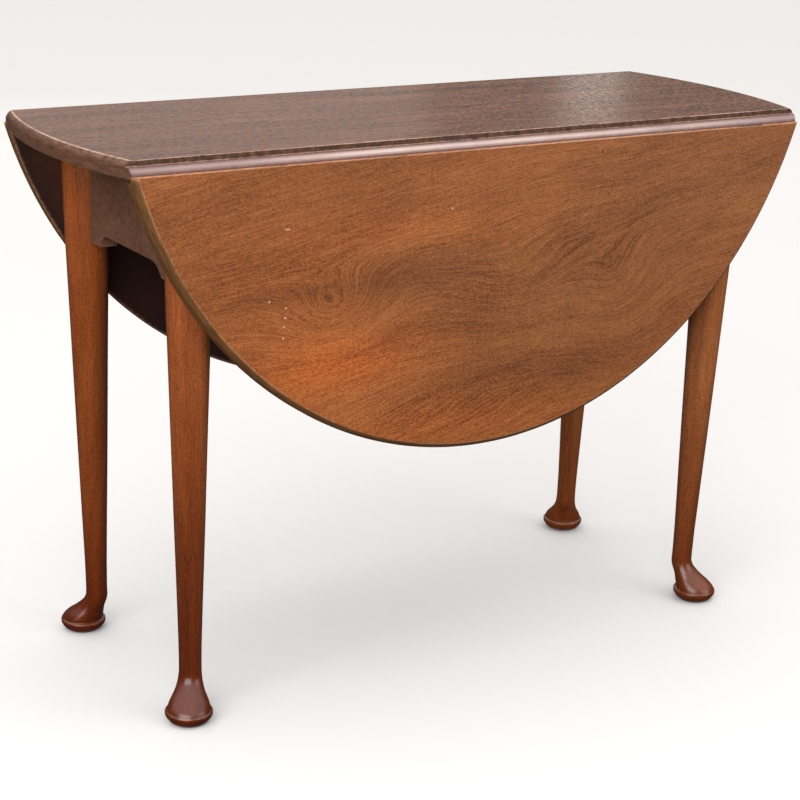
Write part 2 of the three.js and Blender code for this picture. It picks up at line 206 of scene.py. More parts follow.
# ---------- woods ----------
# What a wood's look can say, with its usual value. u is the place along the grain, v across it.
WOOD_LOOK = {
    "slope": 0.0,  # how far the grain climbs across the board
    "swirls": (),  # humps and hollows that the figure runs round: (u, v), size, height
    "tints": (),  # soft patches of another shade, on the leaves partly painted light: (u, v), size, factor
    "fade": (),  # two (u, factor) pairs, for a shade that changes along the piece; on the legs it is partly painted shade, darker toward the foot
    "spots": (),  # pale dents: (u, v), size
    "pits": (),  # dark dents: (u, v), size
    "bands": (2.2, 30.0, 6.0),  # cells a metre of the broad figure
    "speck": (330.0, 620.0),  # cells a metre of the fine mottle
    "figure": 1.0,
    "streak": 1.0,
    "grain": 1.0,
    "relief": 1.0,
    "open_grain": 0.0,  # how much the open pores break up the gloss
    "gloss": 0.38,
    "coat": 0.35,
    "edge": None,  # the two colours of a moulded edge
    "pale": srgb(214, 176, 150),  # bare wood, where it is worn through
    "under": None,  # factor on the side that was never finished; on the leaves it is darker still, in part painted shade
    "seed": 0.0,
}


class Wood(Graph):
    """Old varnished wood. The figure follows the level lines of a height field: a slope, slow
    wander, and one hump or hollow for each swirl. Marks on the mesh say where it is worn, dirty,
    moulded or an edge, and where a highlight or shadow is painted on. axes names the object axes
    along the grain, across it and through it."""

    def __init__(self, name, axes, shades, **look):
        super().__init__(name)
        self.look = {**WOOD_LOOK, **look}
        self.dark, self.mid, self.light = shades
        place = self.position()
        self.place = [place["XYZ".index(letter)] for letter in axes]
        self.make_grain()
        self.colour = self.varied(self.toned())
        self.rough, self.height = self.polish()
        self.age()

    def cells(self, scales, shift, detail, roughness=0.5):
        return self.grid(self.place, scales, self.look["seed"] + shift, detail, roughness)

    def even_cells(self, scale, shift, detail, roughness=0.5):
        return self.cells((scale, scale, scale), shift, detail, roughness)

    def make_grain(self):
        u, v, w = self.place
        wander = self.cells((1.6, 2.6, 2.6), 0.0, 2.0)
        ripple = self.cells((7.0, 12.0, 12.0), 3.1, 2.0)
        level = self.add(v, self.mul(u, self.look["slope"]), self.mul(wander, 0.06))
        level = self.add(level, self.mul(ripple, 0.012))
        for centre, size, height in self.look["swirls"]:
            level = self.add(level, self.mul(self.bell(u, v, centre, size), height))

        def along(scales, shift, detail, roughness=0.5):
            return self.grid((u, level, w), scales, self.look["seed"] + shift, detail, roughness)

        self.broad = along(self.look["bands"], 7.7, 3.0, 0.55)
        self.streaks = along((3.5, 120.0, 40.0), 1.3, 4.0, 0.65)
        self.rings = along((4.0, 210.0, 60.0), 3.7, 2.0)
        self.fibres = along((22.0, 900.0, 400.0), 5.9, 3.0, 0.6)
        self.pore = self.remap(along((95.0, 1100.0, 800.0), 9.2, 1.0), 0.58, 0.70)
        self.cloud = self.cells((4.0, 7.0, 7.0), 2.4, 3.0)
        long_way, short_way = self.look["speck"]
        self.mottle = self.cells((long_way, short_way, short_way), 4.4, 2.0, 0.7)
        self.fine_patches = self.even_cells(130.0, 6.0, 4.0, 0.7)
        self.long_patches = self.even_cells(9.0, 8.0, 3.0)

    def toned(self):
        """The colour of the figure, from dark to light."""
        streak, grain = self.look["streak"], self.look["grain"]
        tone = self.add(self.swing(self.broad, 1.25 * self.look["figure"]),
                        self.swing(self.streaks, 0.9 * streak),
                        self.swing(self.fibres, 1.5 * grain),
                        self.swing(self.cloud, 0.5),
                        self.swing(self.mottle, 1.6 * grain), 0.5)
        return self.ramp(tone, (0.12, self.dark), (0.5, self.mid), (0.88, self.light))

    def varied(self, colour):
        """Tints and a shade that fades along the piece, both partly painted light where a wood has
        them, then pores, dark lines and light flecks.
        """
        u, v = self.place[:2]
        for centre, size, factor in self.look["tints"]:
            tinted = self.times(colour, (*factor, 1.0))
            colour = self.mix(self.bell(u, v, centre, size), colour, tinted)
        if self.look["fade"]:
            (low, low_factor), (high, high_factor) = self.look["fade"]
            share = self.remap(u, low, high)
            colour = self.times(colour, self.mix(share, (*low_factor, 1.0), (*high_factor, 1.0)))
        colour = self.mix(self.mul(self.pore, 0.7 * self.look["grain"]), colour, self.dark)
        line = self.remap(self.rings, 0.58, 0.68)
        colour = self.mix(self.mul(line, 0.6 * self.look["streak"]), colour, self.dark)
        fleck = self.remap(self.cells((240.0, 520.0, 520.0), 2.9, 1.0), 0.68, 0.78)
        return self.mix(self.mul(fleck, 0.6 * self.look["grain"]), colour, self.light)

    def polish(self):
        """Roughness, and the height of the fine relief."""
        grain = self.add(self.mul(self.mottle, 0.7), self.mul(self.fibres, 0.3))
        self.dull = self.mul(self.remap(grain, 0.44, 0.6), self.look["open_grain"])
        rough = self.add(self.look["gloss"], self.swing(self.cloud, 0.12),
                         self.swing(self.mottle, 0.16), self.mul(self.dull, 0.5))
        height = self.add(self.mul(self.fibres, 0.5), self.mul(self.pore, -0.8),
                          self.mul(self.mottle, 0.35), self.mul(self.streaks, 0.6))
        return rough, height

    def age(self):
        if self.look["edge"]:
            self.show_edge()
        self.show_moulding()
        if self.look["under"]:
            self.show_underside()
        self.show_dirt_and_shade()
        self.show_wear()
        self.show_dents(self.look["spots"], 0.85, srgb(236, 200, 165))
        self.show_dents(self.look["pits"], 0.7, srgb(60, 32, 20))

    def roughen(self, mark, size):
        self.rough = self.add(self.rough, self.mul(mark, size))

    def show_edge(self):
        """Layers of end grain along a moulded edge."""
        mark = self.mark("edge")
        stain = self.remap(self.cells((30.0, 50.0, 420.0), 1.9, 4.0), 0.3, 0.7)
        edged = self.mix(stain, *self.look["edge"])
        edged = self.mix(self.remap(self.mottle, 0.45, 0.75, 0.0, 0.6), edged, self.dark)
        self.colour = self.mix(mark, self.colour, edged)
        self.roughen(mark, 0.1)

    def show_moulding(self):
        """The ovolo: darker, polished by the leaf, with a painted highlight along its flank for the
        reflection of the bright light overhead.
        """
        mould = self.mark("mould")
        self.colour = self.mix(self.mul(mould, 0.85), self.colour, srgb(112, 76, 76))
        self.rough = self.mul(self.rough, self.add(1.0, self.mul(mould, -0.4)))
        # Painted highlight: a pale band along the ovolo's flank, standing in for a reflection.
        rub = self.mul(self.mark("rub"), self.remap(self.long_patches, 0.3, 0.6, 0.6, 1.0))
        self.colour = self.mix(rub, self.colour, srgb(240, 216, 206))

    def show_underside(self):
        mark = self.mark("under")
        self.colour = self.mix(mark, self.colour, self.times(self.colour, self.look["under"]))
        self.roughen(mark, 0.25)

    def show_dirt_and_shade(self):
        # Real dirt, and painted shadow: the same mark darkens a stretch of the front joint as if it
        # stood open, and the leaf's cove.
        dirt_and_shade = self.mul(self.mark("grime"), self.remap(self.fine_patches, 0.2, 0.6, 0.55, 1.0))
        dirt_shade_colour = self.mix(self.remap(self.fine_patches, 0.4, 0.65), srgb(50, 32, 22), srgb(112, 78, 50))
        self.colour = self.mix(dirt_and_shade, self.colour, dirt_shade_colour)
        self.roughen(dirt_and_shade, 0.25)

    def show_wear(self):
        patches = self.add(self.fine_patches, self.mul(self.long_patches, 0.7))
        worn = self.mul(self.mark("wear"), self.remap(patches, 0.6, 0.95))
        self.colour = self.mix(worn, self.colour, self.look["pale"])
        self.roughen(worn, 0.1)

    def show_dents(self, dents, strength, colour):
        """Small dents in the outer face."""
        u, v = self.place[:2]
        outside = self.less(self.mark("under"))
        for centre, size in dents:
            dent = self.mul(self.remap(self.bell(u, v, centre, size), 0.3, 0.6), outside)
            self.colour = self.mix(self.mul(dent, strength), self.colour, colour)
            self.height = self.add(self.height, self.mul(dent, -3.0))

    def finished(self):
        fine = self.bump(self.height, 0.00012 * self.look["relief"], 0.55)
        normal = self.bump(self.cells((26.0, 60.0, 60.0), 5.0, 3.0), 0.0012, 0.22, fine)
        coat = self.look["coat"]
        if self.look["open_grain"]:
            coat = self.mul(self.less(self.dull), coat)
        return self.surface(
            Base_Color=self.colour, Roughness=self.rough, IOR=1.5, Normal=normal,
            Coat_Weight=coat, Coat_Roughness=0.16, Coat_IOR=1.5, Coat_Normal=normal,
        )


def top_wood():
    return Wood(
        "top_mahogany", "XYZ", (srgb(58, 34, 24), srgb(106, 66, 46), srgb(146, 98, 72)),
        slope=0.01, grain=2.0, gloss=0.34, coat=0.45, relief=3.0, speck=(170.0, 130.0),
        open_grain=1.0, edge=(srgb(124, 80, 56), srgb(84, 57, 39)), under=srgb(150, 120, 100),
        seed=11.0,
    ).finished()


# Places on the leaf are along the table and up from the floor, with the leaf hanging.
LEAF_SWIRLS = (
    ((-0.235, 0.512), (0.075, 0.05), 0.07),
    ((0.05, 0.505), (0.13, 0.07), 0.06),
    ((0.209, 0.484), (0.07, 0.08), 0.06),
    ((0.02, 0.40), (0.20, 0.04), -0.03),
)
# Partly the figure's own patches and partly painted light: the lighter patches toward the left end
# and the darker ones toward the right stand in for light from the left.
LEAF_TINTS_AND_LIGHT = (
    ((-0.218, 0.450), (0.10, 0.032), (1.72, 1.46, 1.1)),
    ((-0.30, 0.47), (0.14, 0.12), (1.15, 1.06, 0.9)),
    ((-0.10, 0.345), (0.25, 0.035), (1.32, 1.2, 0.97)),
    ((-0.12, 0.613), (0.16, 0.022), (1.22, 1.15, 1.0)),
    ((-0.115, 0.550), (0.10, 0.030), (0.70, 0.72, 0.8)),
    ((-0.29, 0.545), (0.10, 0.012), (0.75, 0.75, 0.8)),
    ((0.36, 0.63), (0.22, 0.12), (1.0, 1.12, 1.25)),
    ((0.12, 0.50), (0.16, 0.10), (0.88, 0.95, 1.02)),
    ((0.15, 0.38), (0.12, 0.05), (0.85, 0.85, 0.85)),
)
LEAF_SPOTS = tuple((spot, (0.0016, 0.0013)) for spot in (
    (-0.304, 0.531), (-0.305, 0.519), (-0.306, 0.508), (-0.307, 0.494), (-0.327, 0.541),
    (-0.07, 0.632), (-0.40, 0.50),
)) + (((-0.304, 0.627), (0.0045, 0.0009)),)
LEAF_PITS = (((0.161, 0.686), (0.0014, 0.003)), ((0.176, 0.630), (0.0035, 0.0015)))


def leaf_wood(side):
    """Both leaves have the same figure in other places. Only the front one has its dents."""
    front = side == "front"
    return Wood(
        f"{side}_leaf_mahogany", "XZY", (srgb(108, 56, 25), srgb(158, 91, 45), srgb(188, 116, 62)),
        slope=-0.15, swirls=LEAF_SWIRLS, tints=LEAF_TINTS_AND_LIGHT, spots=LEAF_SPOTS if front else (),
        pits=LEAF_PITS if front else (), figure=0.62, streak=0.22, grain=0.8, open_grain=0.5,
        gloss=0.42, coat=0.25, bands=(2.0, 16.0, 5.0), pale=srgb(222, 166, 128),
        # The leaves' inner face is darkened partly as painted shade.
        edge=(srgb(136, 92, 44), srgb(88, 58, 28)), under=srgb(78, 60, 64),
        seed=20.0 if front else 31.0,
    ).finished()


def leg_wood(name, factor):
    """The legs' wood, redder toward the foot and darker there, in part as painted shade.
    factor is painted light: it lightens or darkens that leg's copy of the wood for the light that
    leg gets.
    """
    low = (0.46 * factor[0], 0.28 * factor[1], 0.2 * factor[2])
    high = (1.55 * factor[0], 1.7 * factor[1], 2.6 * factor[2])
    return Wood(
        name, "ZXY", (srgb(86, 36, 11), srgb(136, 68, 25), srgb(172, 96, 42)),
        # Painted light along the leg: lighter up the leg and darker toward the foot, where less
        # light reaches; it is also redder there.
        fade=((0.02, low), (0.6, high)), figure=0.5, streak=0.2, grain=0.42, gloss=0.25, coat=0.3,
        bands=(1.4, 45.0, 45.0), pale=srgb(160, 112, 90), seed=41.0,
    ).finished()


def apron_wood():
    return Wood(
        "apron_mahogany", "YZX", (srgb(56, 28, 16), srgb(92, 50, 30), srgb(114, 68, 43)),
        figure=0.6, streak=0.6, gloss=0.5, coat=0.1, pale=srgb(130, 92, 70), seed=55.0,
    ).finished()


def rail_wood():
    return Wood(
        "rail_mahogany", "XZY", (srgb(52, 32, 24), srgb(84, 54, 42), srgb(104, 70, 54)),
        figure=0.7, streak=0.7, gloss=0.5, coat=0.1, pale=srgb(130, 96, 78), seed=66.0,
    ).finished()


def oak(name, axes, seed):
    """Bare oak, as the rails and blocks out of sight are."""
    return Wood(
        name, axes, (srgb(74, 54, 36), srgb(116, 88, 60), srgb(146, 116, 82)),
        figure=0.8, streak=0.8, grain=1.3, gloss=0.75, coat=0.0, pale=srgb(160, 130, 96), seed=seed,
    ).finished()


def iron(name, base, rust):
    """Old iron: dark, pitted, with brown rust in patches."""
    g = Graph(name)
    place = g.position()[0:3]
    patches = g.grid(place, (60.0, 60.0, 60.0), 1.0, 5.0, 0.65)
    pitting = g.grid(place, (700.0, 700.0, 700.0), 3.0, 3.0)
    share = g.remap(patches, 0.42, 0.62)
    colour = g.mix(share, base, rust)
    colour = g.mix(g.mul(g.mark("wear"), 0.6), colour, srgb(150, 142, 130))
    rough = g.add(0.42, g.mul(share, 0.35), g.mul(pitting, 0.1))
    metal = g.remap(share, 0.0, 1.0, 0.9, 0.25)
    relief = g.bump(g.add(pitting, g.mul(share, 0.6)), 0.0002, 0.5)
    return g.surface(Base_Color=colour, Roughness=rough, Metallic=metal, Normal=relief)


# Painted light: each leg gets its own copy of the wood, lightened or darkened to stand in for how
# much light falls on it; the right-hand legs are made lighter.
LEG_LIGHT_FACTORS = {
    "front_left_leg": (1.0, 1.0, 1.0),
    "front_right_leg": (1.28, 1.62, 1.95),
    "rear_left_leg": (0.93, 0.86, 0.7),
    "rear_right_leg": (1.95, 2.7, 3.2),
}
LEG_WOODS = {leg: leg_wood(f"{leg}_mahogany", factor) for leg, factor in LEG_LIGHT_FACTORS.items()}
APRON_WOOD = apron_wood()
RAIL_WOOD = rail_wood()
INNER_WOOD = oak("inner_oak", "XZY", 77.0)
BLOCK_WOOD = oak("block_oak", "ZXY", 88.0)
HINGE_IRON = iron("hinge_iron", srgb(74, 68, 62), srgb(92, 58, 38))
SCREW_STEEL = iron("screw_steel", srgb(120, 112, 102), srgb(96, 74, 54))


# ---------- meshes ----------
# Two marks carry painted light as well: a painted highlight on the ovolo's flank, and painted
# shadow in a stretch of the front joint, laid by the same mark as the dirt.
MARKS = ("wear", "grime", "mould", "rub", "edge", "under")


def finish_piece(name, mesh, material, body, node, smooth=35):
    """Puts a finished mesh into the scene as the piece that stands for a CAD node."""
    mesh.shade_smooth()
    mesh.set_sharp_from_angle(angle=math.radians(smooth))
    mesh.materials.clear()
    mesh.materials.append(material)
    piece = bpy.data.objects.new(name, mesh)
    bpy.context.scene.collection.objects.link(piece)
    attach(piece, body)
    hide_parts(node)


def loft(name, rings, marks):
    """A closed mesh through rings of equal length, with flat ends. marks has one row of values
    for each vertex, in the order of MARKS."""
    count = len(rings[0])
    vertices = [point for ring in rings for point in ring]
    faces = [tuple(range(count))]
    for j in range(len(rings) - 1):
        for i in range(count):
            k = (i + 1) % count
            faces.append((j * count + i, j * count + k, (j + 1) * count + k, (j + 1) * count + i))
    faces.append(tuple(range((len(rings) - 1) * count, len(rings) * count)))
    mesh = bpy.data.meshes.new(name)
    mesh.from_pydata(vertices, [], faces)
    work = bmesh.new()
    work.from_mesh(mesh)
    bmesh.ops.recalc_face_normals(work, faces=work.faces)
    work.to_mesh(mesh)
    work.free()
    for mark, values in zip(MARKS, zip(*marks)):
        attribute = mesh.attributes.new(mark, "FLOAT", "POINT")
        attribute.data.foreach_set("value", values)
    return mesh


# ---------- the oval and the rule joint ----------
def edge_inset(depth):
    """How far the moulded edge stands in from its fullest line, at a depth below the face."""
    if depth < EDGE_DROP:
        turn = math.asin((1 - depth / EDGE_DROP) * math.sin(EDGE_TURN))
        return EDGE_INSET * (1 - math.cos(turn)) / (1 - math.cos(EDGE_TURN))
    return max(0.0, depth - (BOARD - UNDER_BEVEL))


def oval(depth, trim):
    """The oval's half length and half width at a depth, trimmed in all round."""
    share = 1 - (edge_inset(depth) + trim) / MEAN
    return OVAL_X * share, OVAL_Y * share


def ovolo_reach(depth):
    if depth <= FILLET:
        return 0.0
    return math.sqrt(max(0.0, OVOLO ** 2 - (depth - RULE) ** 2))


def cove_reach(depth):
    if depth >= RULE:
        return COVE
    return max(COVE - OVOLO, math.sqrt(max(0.0, COVE ** 2 - (depth - RULE) ** 2)))


def chip(x, seed, size):
    """Small random losses from an arris at x: mostly none, here and there up to size deep."""
    coarse = noise.noise(Vector((x * 23, seed, 0.5)))
    fine = noise.noise(Vector((x * 170, seed, 4.5)))
    return size * max(0.0, coarse * 0.8 + fine * 0.9 - 0.42) / 0.6


def span(low, high, steps):
    return [low + (high - low) * i / steps for i in range(steps)]


# ---------- hinge recesses ----------
SLACK = 0.4 * MM
PLATE_DEEP = 2 * MM + SLACK
GROOVE = 4 * MM


def hinge_recess(end):
    """What one front hinge takes out of the boards with the leaf raised: its plates are let in
    flush, with a groove for the barrel. Returns a prism's vertices and faces."""
    plate_low, plate_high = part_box(f"front_hinge_{end}_top_plate")
    reach_in = plate_high.y + AXIS_Y + SLACK
    reach_out = AXIS_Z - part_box(f"front_hinge_{end}_leaf_plate")[0].z + SLACK
    low = TOP_LOW.z - 1 * MM
    deep = TOP_LOW.z + PLATE_DEEP
    groove = AXIS_Z + GROOVE
    half = GROOVE + 1 * MM
    profile = ((-reach_out, low), (reach_in, low), (reach_in, deep), (half, deep),
               (half, groove), (-half, groove), (-half, deep), (-reach_out, deep))
    count = len(profile)
    ends = (plate_low.x - SLACK, plate_high.x + SLACK)
    vertices = [(x, y - AXIS_Y, z) for x in ends for y, z in profile]
    faces = [tuple(range(count)), tuple(range(2 * count - 1, count - 1, -1))]
    for i in range(count):
        k = (i + 1) % count
        faces.append((i, i + count, k + count, k))
    return vertices, faces


def recess_tool(turns):
    """The recesses of a joint's two hinges as one mesh, repeated for each turn of the table."""
    mesh = bpy.data.meshes.new("recesses")
    work = bmesh.new()
    for turn in turns:
        for end in ("a", "b"):
            vertices, faces = hinge_recess(end)
            made = [work.verts.new(turn @ Vector(vertex)) for vertex in vertices]
            for face in faces:
                work.faces.new([made[i] for i in face])
    bmesh.ops.recalc_face_normals(work, faces=work.faces)
    work.to_mesh(mesh)
    work.free()
    return mesh


def cut(mesh, tool):
    """The mesh with the tool taken out of it. Its marks are kept."""
    board = bpy.data.objects.new("board", mesh)
    cutter = bpy.data.objects.new("cutter", tool)
    for item in (board, cutter):
        bpy.context.scene.collection.objects.link(item)
    modifier = board.modifiers.new("recess", "BOOLEAN")
    modifier.operation = "DIFFERENCE"
    modifier.solver = "EXACT"
    modifier.object = cutter
    ready = board.evaluated_get(bpy.context.evaluated_depsgraph_get())
    result = bpy.data.meshes.new_from_object(ready)
    for item in (board, cutter):
        bpy.data.objects.remove(item)
    return result


# ---------- boards ----------
# A board is a loft through levels, each with a depth, a trim, its wear and how much it is chipped.
JOINT_STEPS = 420
END_STEPS = 90
ARC_STEPS = 300
NEAR = 0.1 * MM  # levels this close count as the same
ROUNDED = 0.3 * MM  # the arris of the face ends about here
ARRIS_END = 0.9 * MM
FACE = ((0, 4 * MM, 0, 0), (0, 1.1 * MM, 0, 0))
LOW_SIDE = tuple((depth * MM, 0, 0, 0) for depth in (17.6, 18.7, 19.8))
GAP_SHADOW_SPAN = (0.385, 0.43)  # the stretch of the front joint painted with a dark shadow, as if the joint stood open there


def top_levels():
    arris = ((0, 0.45 * MM, 0.75, 0.2), (0.12 * MM, 0.12 * MM, 1, 0.5),
             (0.45 * MM, 0, 0.9, 1), (1.0 * MM, 0, 0, 0.7))
    fillet = tuple((FILLET * share, 0, 0, 0) for share in (0.3, 0.5, 0.7, 0.9, 1))
    ovolo = tuple((RULE - OVOLO * math.cos(math.radians(5.6 * i)), 0, 0, 0) for i in range(1, 17))
    under = ((BOARD - 0.5 * MM, 0, 0.5, 0), (BOARD, 0, 0.5, 0), (BOARD, 3 * MM, 0, 0))
    return FACE + arris + fillet + ovolo + LOW_SIDE + under


def top_ring(depth, trim, chipped):
    """One level of the fixed top: each joint in turn, followed by the oval's end."""
    half_x, half_y = oval(depth, trim)
    reach = AXIS_Y + ovolo_reach(depth) - trim

    def end(y):
        return half_x * math.sqrt(1 - (y / half_y) ** 2)

    corner = end(reach)
    points = []
    for side in (-1, 1):
        for x in span(-corner, corner, JOINT_STEPS):
            loss = chip(side * x, 3.0 + side, 0.9 * MM) * chipped
            points.append((-side * x, side * (reach - loss)))
        for y in span(-reach, reach, END_STEPS):
            points.append((-side * end(y), -side * y))
    return [(x, y, HEIGHT - depth) for x, y in points]


def ovolo_highlight_share(depth, x):
    """How strong the painted highlight on the ovolo's flank is at this depth and length."""
    turn = math.degrees(math.acos(min(1.0, (RULE - depth) / OVOLO)))
    along = 0.35 + 0.5 * math.exp(-((x - 0.02) / 0.32) ** 4)
    return along * math.exp(-((turn - 56) / 19) ** 2)


def top_marks(depth, wear, joint, x):
    is_under = depth >= BOARD - NEAR
    on_fillet = joint and ARRIS_END < depth < FILLET - NEAR
    foot = joint and abs(depth - FILLET) < NEAR
    return (
        0.9 if foot else wear,
        1.0 if on_fillet else 0.0,
        1.0 if joint and FILLET < depth < BOARD - NEAR else 0.0,
        ovolo_highlight_share(depth, x) if joint and FILLET < depth < RULE else 0.0,
        1.0 if depth > ROUNDED and not joint and not is_under else 0.0,
        1.0 if is_under else 0.0,
    )


def top_board():
    rings = []
    marks = []
    for depth, trim, wear, chipped in top_levels():
        ring = top_ring(depth, trim, chipped)
        rings.append(ring)
        for i in range(len(ring)):
            joint = i % (JOINT_STEPS + END_STEPS) <= JOINT_STEPS
            marks.append(top_marks(depth, wear, joint, rings[0][i][0]))
    mesh = cut(loft("fixed_top_board", rings, marks), recess_tool((UNTURNED, HALF_TURN)))
    finish_piece("fixed_top_board", mesh, top_wood(), BASE, "fixed_top")


def leaf_levels():
    arris = ((0, 0.45 * MM, 0.5, 0.3), (0.12 * MM, 0.12 * MM, 0.8, 0.6),
             (0.45 * MM, 0, 0.5, 1), (1.0 * MM, 0, 0, 0.9))
    shoulder = tuple((FILLET * share, 0, 0, 0.4) for share in (0.3, 0.55, 0.8))
    cove = tuple((RULE - COVE * math.cos(math.radians(5.5 * i + 2)), 0, 0, 0) for i in range(1, 17))
    under = ((BOARD - 0.5 * MM, 0, 0.9, 0), (BOARD, 0, 0.8, 0), (BOARD, 3 * MM, 0, 0))
    return FACE + arris + shoulder + cove + LOW_SIDE + under


def leaf_ring(depth, trim, chipped, seed):
    """One level of a raised front leaf: along the joint, and back round the oval's edge."""
    half_x, half_y = oval(depth, trim)
    joint = AXIS_Y + cove_reach(depth) + trim
    start = math.asin(joint / half_y)
    corner = half_x * math.cos(start)
    points = []
    for x in span(-corner, corner, JOINT_STEPS):
        points.append((x, -joint - chip(x, seed, 1.2 * MM) * chipped))
    for angle in span(start, math.pi - start, ARC_STEPS):
        points.append((half_x * math.cos(angle), -half_y * math.sin(angle)))
    return [(x, y, HEIGHT - depth) for x, y in points]


def leaf_marks(depth, wear, joint, in_gap_shadow):
    """The last flag says that this part of the joint gets painted shadow, as if it stood open."""
    is_under = depth >= BOARD - NEAR
    on_shoulder = joint and ARRIS_END < depth < FILLET - 2 * NEAR
    gap_shadow = in_gap_shadow and on_shoulder
    on_cove = joint and FILLET < depth and not is_under
    return (
        0.0 if gap_shadow else 0.7 if on_shoulder else wear if joint else 0.45 * wear,
        # Painted shadow in the joint's open-looking stretch; the cove is darkened as well.
        1.0 if gap_shadow else 0.8 if on_cove else 0.0,
        0.0,
        0.0,
        1.0 if depth > ROUNDED and not joint and not is_under else 0.0,
        1.0 if is_under else 0.0,
    )


def leaf_board(side):
    front = side == "front"
    rings = []
    marks = []
    for depth, trim, wear, chipped in leaf_levels():
        ring = leaf_ring(depth, trim, chipped, 8.0 if front else 15.0)
        rings.append(ring)
        for i in range(len(ring)):
            in_gap_shadow = front and GAP_SHADOW_SPAN[0] < rings[0][i][0] < GAP_SHADOW_SPAN[1]
            marks.append(leaf_marks(depth, wear, i <= JOINT_STEPS, in_gap_shadow))
    mesh = cut(loft(f"{side}_leaf_board", rings, marks), recess_tool((UNTURNED,)))
    axis = Matrix.Translation((0, -AXIS_Y, AXIS_Z))
    hang = axis @ Matrix.Rotation(math.radians(90), 4, "X") @ axis.inverted()
    mesh.transform((UNTURNED if front else HALF_TURN) @ hang)
    finish_piece(f"{side}_leaf_board", mesh, leaf_wood(side), f"{side}_drop_leaf",
                 f"{side}_leaf")


# ---------- legs ----------
PAD_R = 30.2 * MM
PAD = MOUNTS["foot_rear_right"]["pos_m"][0:2]
ANKLE = (402.5 * MM, 140.5 * MM)
FIXED_TOP = (407.4 * MM, 136.7 * MM)
SWING_TOP = (416 * MM, 136.7 * MM)
OFFSET_LOW = 14 * MM  # the centre starts to move in from the pad here
OFFSET_HIGH = 56 * MM  # and is on the leg's own line from here
PAD_TOP = 15.7  # millimetres, as the heights and radii below
PAD_ROWS = ((0, 19.5), (0.5, 21), (1.6, 23.4), (3.2, 25.4), (4.6, 26.6), (5.4, 27.0), (6.0, 27.3),
            (7.4, 28.6), (9.4, 29.7), (11.4, 30.15), (13.2, 30.2), (14.6, 29.9), (15.5, 29.2))
LEG_ROWS = ((15.9, 27.7), (16.4, 27.4), (17.4, 27.3), (19, 27.0), (21, 26.4), (23.5, 25.4),
            (26, 24.3), (29, 22.6), (32, 20.9), (35, 19.4), (38, 18.1), (41, 17.1), (44, 16.3),
            (47, 15.6), (50, 15.1), (55, 14.6), (60, 14.35), (68, 14.3), (80, 14.4), (100, 14.7),
            (125, 15.4), (150, 16.1), (200, 17.65), (250, 19.2), (325, 21.3), (400, 23.4),
            (475, 25.6), (550, 27.8), (625, 29.3), (690, 30.6), (FRAME_TOP / MM - 0.6, 30.8),
            (FRAME_TOP / MM, 30.2))
LEG_SIDES = 72
LEGS = (
    ("front_left_leg", -1, -1, FIXED_TOP),
    ("front_right_leg", 1, -1, SWING_TOP),
    ("rear_right_leg", 1, 1, FIXED_TOP),
    ("rear_left_leg", -1, 1, SWING_TOP),
)


def leg_centre(height, top):
    """Centre of a leg at a height: out at the pad, in at the ankle, then leaning to the top. The
    leg stands a little further out still where it rises from the pad."""
    z = height * MM
    up = min(max((z - OFFSET_HIGH) / (FRAME_TOP - OFFSET_HIGH), 0.0), 1.0)
    t = min(max((z - OFFSET_LOW) / (OFFSET_HIGH - OFFSET_LOW), 0.0), 1.0)
    out = 1 - t * t * (3 - 2 * t)
    away = Vector((PAD[0] - ANKLE[0], PAD[1] - ANKLE[1])).normalized()
    shift = 1.5 * MM * max(0.0, 1 - (height - PAD_TOP) / 14) if height > PAD_TOP else 0.0
    return [ANKLE[i] + (top[i] - ANKLE[i]) * up + (PAD[i] - ANKLE[i]) * out + away[i] * shift
            for i in (0, 1)]


def leg_marks(height, x, y):
    """The pad is patchily worn round its rim and foot, and dirty below and behind the rim."""
    patchy = 0.5 + 0.9 * noise.noise(Vector((x * 40, y * 40, 2)))
    on_rim = 14.4 < height < PAD_TOP
    on_foot = 3.0 < height < 5.8
    wear = 0.55 * patchy if on_rim else 0.4 if on_foot else 0.0
    grime = 0.8 if height < 1 else 0.55 if PAD_TOP < height < 16.6 else 0.0
    return (wear, grime, 0.0, 0.0, 0.0, 0.0)


def leg_ring(height, radius, side_x, side_y, top):
    x, y = leg_centre(height, top)
    ring = []
    for i in range(LEG_SIDES):
        angle = 2 * math.pi * i / LEG_SIDES
        wobble = 1 + 0.006 * noise.noise(Vector((math.cos(angle), math.sin(angle), height / 90)))
        spread = min(radius * MM * wobble, PAD_R)
        ring.append((side_x * (x + spread * math.cos(angle)),
                     side_y * (y + spread * math.sin(angle)), height * MM))
    return ring


def leg(name, side_x, side_y, top):
    rings = []
    marks = []
    for height, radius in PAD_ROWS + LEG_ROWS:
        ring = leg_ring(height, radius, side_x, side_y, top)
        rings.append(ring)
        marks += [leg_marks(height, x, y) for x, y, _ in ring]
    mesh = loft(f"{name}_turned", rings, marks)
    finish_piece(f"{name}_turned", mesh, LEG_WOODS[name], BODY_OF[name], name,
                 smooth=50)


